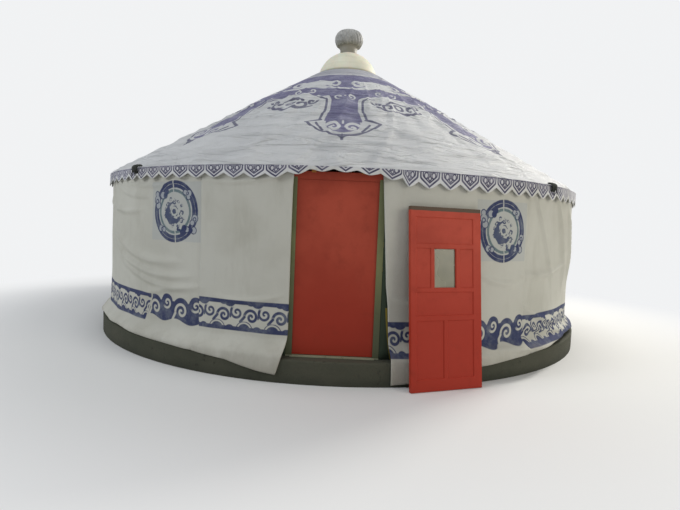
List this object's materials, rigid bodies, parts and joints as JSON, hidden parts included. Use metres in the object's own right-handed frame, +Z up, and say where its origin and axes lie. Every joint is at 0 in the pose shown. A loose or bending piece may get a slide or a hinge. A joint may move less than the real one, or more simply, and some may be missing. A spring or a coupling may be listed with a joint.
{
  "type": "yurt",
  "caption": "Round tent house of printed canvas on a lattice wall and roof poles, with a hinged door, a domed crown with finial and a low masonry plinth.",
  "frame": {"origin": "centre of the plinth's underside", "axes": "+Z up, the doorway faces -Y, +X to the right of someone facing the doorway"},
  "size_m": [6.218, 6.2852, 4.0795],
  "materials": {
    "masonry": "rendered masonry, dusty",
    "wall_canvas": "off-white canvas over felt, printed",
    "lining_cloth": "dark green lining cloth",
    "frame_paint": "worn grey-green paint",
    "sill_steel": "worn paint",
    "door_paint": "red paint",
    "hinge_steel": "dull steel",
    "lattice_paint": "yellow paint",
    "pole_paint": "ochre paint",
    "roof_canvas": "off-white canvas over felt, printed",
    "valance_canvas": "printed canvas",
    "crown_paint": "ochre paint",
    "collar_canvas": "weathered grey canvas",
    "dome_plastic": "cream translucent plastic",
    "finial_metal": "silver-grey paint",
    "spare_door_paint": "red paint",
    "window_glass": "dusty glass"
  },
  "bodies": {
    "root": {"canvas_left_of_door": "wall_canvas", "canvas_right_of_door": "wall_canvas", "canvas_wall_1": "wall_canvas", "canvas_wall_2": "wall_canvas", "canvas_wall_3": "wall_canvas", "canvas_wall_4": "wall_canvas", "canvas_wall_5": "wall_canvas", "crown_collar": "collar_canvas", "crown_dome": "dome_plastic", "crown_ring": "crown_paint", "crown_spokes": "crown_paint", "door_head": "frame_paint", "door_post_left": "frame_paint", "door_post_right": "frame_paint", "door_sill": "sill_steel", "eave_valance": "valance_canvas", "finial_knob": "finial_metal", "finial_neck": "finial_metal", "hinge_pins": "hinge_steel", "lattice_1": "lattice_paint", "lattice_2": "lattice_paint", "lattice_3": "lattice_paint", "lattice_4": "lattice_paint", "lattice_5": "lattice_paint", "lattice_6": "lattice_paint", "plinth": "masonry", "roof_cover_1": "roof_canvas", "roof_cover_2": "roof_canvas", "roof_cover_3": "roof_canvas", "roof_cover_4": "roof_canvas", "roof_cover_5": "roof_canvas", "roof_cover_6": "roof_canvas", "roof_poles_1": "pole_paint", "roof_poles_2": "pole_paint", "roof_poles_3": "pole_paint", "roof_poles_4": "pole_paint", "roof_poles_5": "pole_paint", "roof_poles_6": "pole_paint", "spare_door_frame": "spare_door_paint", "spare_door_panels": "spare_door_paint", "spare_door_window": "window_glass", "wall_lining": "lining_cloth", "wall_skirt": "wall_canvas"},
    "door": {"door_leaf": "door_paint", "hinge_straps": "hinge_steel"}
  },
  "joints": [
    {"name": "door_swing", "type": "hinge", "parent": "root", "child": "door", "pos_m": [-0.352, -2.894, 0.21], "axis": [0, 0, 1], "range_deg": [0, 95]}
  ]
}
